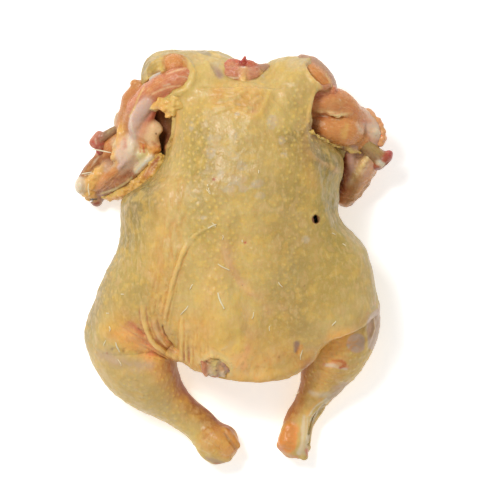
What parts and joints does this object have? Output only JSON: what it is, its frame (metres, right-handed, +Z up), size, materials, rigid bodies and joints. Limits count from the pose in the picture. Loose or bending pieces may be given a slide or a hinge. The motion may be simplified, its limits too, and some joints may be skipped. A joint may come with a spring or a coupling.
{
  "type": "whole chicken",
  "caption": "Raw whole chicken, plucked and drawn, lying breast down with its back up, drumsticks drawn together, skin torn from the wings and bare bone ends showing.",
  "frame": {"origin": "middle of the bird's outline as seen from above, on the surface it lies on", "axes": "+Z up, through the back; +Y towards the head end; +X to the right in a view from above"},
  "size_m": [0.2328, 0.306, 0.1076],
  "materials": {
    "skin": "moist raw yellow skin with follicle bumps, and raw meat at the wings and neck",
    "bone": "wet bare bone, olive grey on the shaft and dark red at the knuckle"
  },
  "bodies": {
    "root": {"carcass": "skin", "wing_bone_left": "bone", "wing_bone_right": "bone"}
  },
  "joints": []
}
